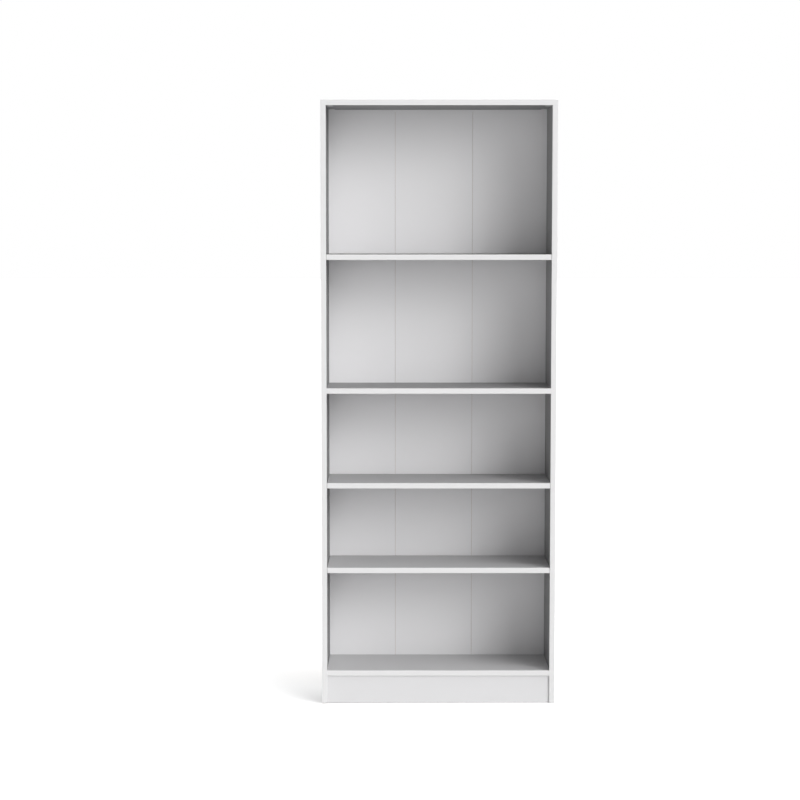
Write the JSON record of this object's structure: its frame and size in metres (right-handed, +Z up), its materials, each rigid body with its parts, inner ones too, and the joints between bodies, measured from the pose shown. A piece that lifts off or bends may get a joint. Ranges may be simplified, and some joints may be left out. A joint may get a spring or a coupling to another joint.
{
  "type": "bookcase with adjustable shelves",
  "caption": "Tall narrow open bookcase of white faced chipboard with a fixed middle shelf, adjustable shelves on steel pins, a plinth and a folded hardboard back.",
  "frame": {"origin": "on the floor, at the middle of the bookcase's width and depth", "axes": "+Z up, +X to the right for someone facing the open front, +Y from the front to the back"},
  "size_m": [0.789, 0.277, 2.034],
  "materials": {
    "white_board": "chipboard faced with matt white melamine, raw on the unbanded edges",
    "white_edging": "satin white edging strip",
    "white_plastic": "white moulded plastic",
    "glide_plastic": "off-white moulded plastic",
    "zinc_plated_steel": "bright zinc plated",
    "cam_zinc": "die-cast zinc",
    "nail_steel": "bright steel",
    "dowel_beech": "fluted beech",
    "back_hardboard": "hardboard, white lacquer at the front, brown at the rear",
    "paper_tape": "brown paper tape"
  },
  "bodies": {
    "carcass": {"side_panel_left": "white_board", "side_front_edging_left": "white_edging", "side_top_edging_left": "white_edging", "side_panel_right": "white_board", "side_front_edging_right": "white_edging", "side_top_edging_right": "white_edging", "floor_glides": "glide_plastic", "bottom_panel": "white_board", "bottom_panel_front_edging": "white_edging", "bottom_panel_connector_housings": "white_plastic", "bottom_panel_connector_cams": "cam_zinc", "bottom_panel_connector_bolts": "zinc_plated_steel", "bottom_panel_dowels": "dowel_beech", "fixed_shelf": "white_board", "fixed_shelf_front_edging": "white_edging", "fixed_shelf_connector_housings": "white_plastic", "fixed_shelf_connector_cams": "cam_zinc", "fixed_shelf_connector_bolts": "zinc_plated_steel", "fixed_shelf_dowels": "dowel_beech", "top_panel": "white_board", "top_panel_front_edging": "white_edging", "top_panel_connector_housings": "white_plastic", "top_panel_connector_cams": "cam_zinc", "top_panel_connector_bolts": "zinc_plated_steel", "top_panel_dowels": "dowel_beech", "plinth_board": "white_board", "plinth_dowels": "dowel_beech", "plinth_connector_bolts": "zinc_plated_steel", "plinth_connector_cams": "cam_zinc", "back_leaf_left": "back_hardboard", "back_leaf_middle": "back_hardboard", "back_leaf_right": "back_hardboard", "back_fold_tape_left": "paper_tape", "back_fold_tape_right": "paper_tape", "back_nails": "nail_steel"},
    "upper_shelf": {"upper_shelf": "white_board", "upper_shelf_front_edging": "white_edging", "upper_shelf_sockets": "white_plastic"},
    "upper_shelf_pin_front_left": {"upper_shelf_pin_front_left": "zinc_plated_steel"},
    "upper_shelf_pin_front_right": {"upper_shelf_pin_front_right": "zinc_plated_steel"},
    "upper_shelf_pin_rear_left": {"upper_shelf_pin_rear_left": "zinc_plated_steel"},
    "upper_shelf_pin_rear_right": {"upper_shelf_pin_rear_right": "zinc_plated_steel"},
    "lower_shelf": {"lower_shelf": "white_board", "lower_shelf_front_edging": "white_edging", "lower_shelf_sockets": "white_plastic"},
    "lower_shelf_pin_front_left": {"lower_shelf_pin_front_left": "zinc_plated_steel"},
    "lower_shelf_pin_front_right": {"lower_shelf_pin_front_right": "zinc_plated_steel"},
    "lower_shelf_pin_rear_left": {"lower_shelf_pin_rear_left": "zinc_plated_steel"},
    "lower_shelf_pin_rear_right": {"lower_shelf_pin_rear_right": "zinc_plated_steel"},
    "lowest_shelf": {"lowest_shelf": "white_board", "lowest_shelf_front_edging": "white_edging", "lowest_shelf_sockets": "white_plastic"},
    "lowest_shelf_pin_front_left": {"lowest_shelf_pin_front_left": "zinc_plated_steel"},
    "lowest_shelf_pin_front_right": {"lowest_shelf_pin_front_right": "zinc_plated_steel"},
    "lowest_shelf_pin_rear_left": {"lowest_shelf_pin_rear_left": "zinc_plated_steel"},
    "lowest_shelf_pin_rear_right": {"lowest_shelf_pin_rear_right": "zinc_plated_steel"}
  },
  "joints": [
    {"name": "upper_shelf_lift", "type": "slide", "parent": "carcass", "child": "upper_shelf", "axis": [0, 0, 1], "range_m": [0, 0.48]},
    {"name": "upper_shelf_pin_front_left_pull", "type": "slide", "parent": "carcass", "child": "upper_shelf_pin_front_left", "axis": [1, 0, 0], "range_m": [0, 0.01]},
    {"name": "upper_shelf_pin_front_right_pull", "type": "slide", "parent": "carcass", "child": "upper_shelf_pin_front_right", "axis": [-1, 0, 0], "range_m": [0, 0.01]},
    {"name": "upper_shelf_pin_rear_left_pull", "type": "slide", "parent": "carcass", "child": "upper_shelf_pin_rear_left", "axis": [1, 0, 0], "range_m": [0, 0.01]},
    {"name": "upper_shelf_pin_rear_right_pull", "type": "slide", "parent": "carcass", "child": "upper_shelf_pin_rear_right", "axis": [-1, 0, 0], "range_m": [0, 0.01]},
    {"name": "lower_shelf_lift", "type": "slide", "parent": "carcass", "child": "lower_shelf", "axis": [0, 0, 1], "range_m": [0, 0.288]},
    {"name": "lower_shelf_pin_front_left_pull", "type": "slide", "parent": "carcass", "child": "lower_shelf_pin_front_left", "axis": [1, 0, 0], "range_m": [0, 0.01]},
    {"name": "lower_shelf_pin_front_right_pull", "type": "slide", "parent": "carcass", "child": "lower_shelf_pin_front_right", "axis": [-1, 0, 0], "range_m": [0, 0.01]},
    {"name": "lower_shelf_pin_rear_left_pull", "type": "slide", "parent": "carcass", "child": "lower_shelf_pin_rear_left", "axis": [1, 0, 0], "range_m": [0, 0.01]},
    {"name": "lower_shelf_pin_rear_right_pull", "type": "slide", "parent": "carcass", "child": "lower_shelf_pin_rear_right", "axis": [-1, 0, 0], "range_m": [0, 0.01]},
    {"name": "lowest_shelf_lift", "type": "slide", "parent": "carcass", "child": "lowest_shelf", "axis": [0, 0, 1], "range_m": [0, 0.256]},
    {"name": "lowest_shelf_pin_front_left_pull", "type": "slide", "parent": "carcass", "child": "lowest_shelf_pin_front_left", "axis": [1, 0, 0], "range_m": [0, 0.01]},
    {"name": "lowest_shelf_pin_front_right_pull", "type": "slide", "parent": "carcass", "child": "lowest_shelf_pin_front_right", "axis": [-1, 0, 0], "range_m": [0, 0.01]},
    {"name": "lowest_shelf_pin_rear_left_pull", "type": "slide", "parent": "carcass", "child": "lowest_shelf_pin_rear_left", "axis": [1, 0, 0], "range_m": [0, 0.01]},
    {"name": "lowest_shelf_pin_rear_right_pull", "type": "slide", "parent": "carcass", "child": "lowest_shelf_pin_rear_right", "axis": [-1, 0, 0], "range_m": [0, 0.01]}
  ]
}
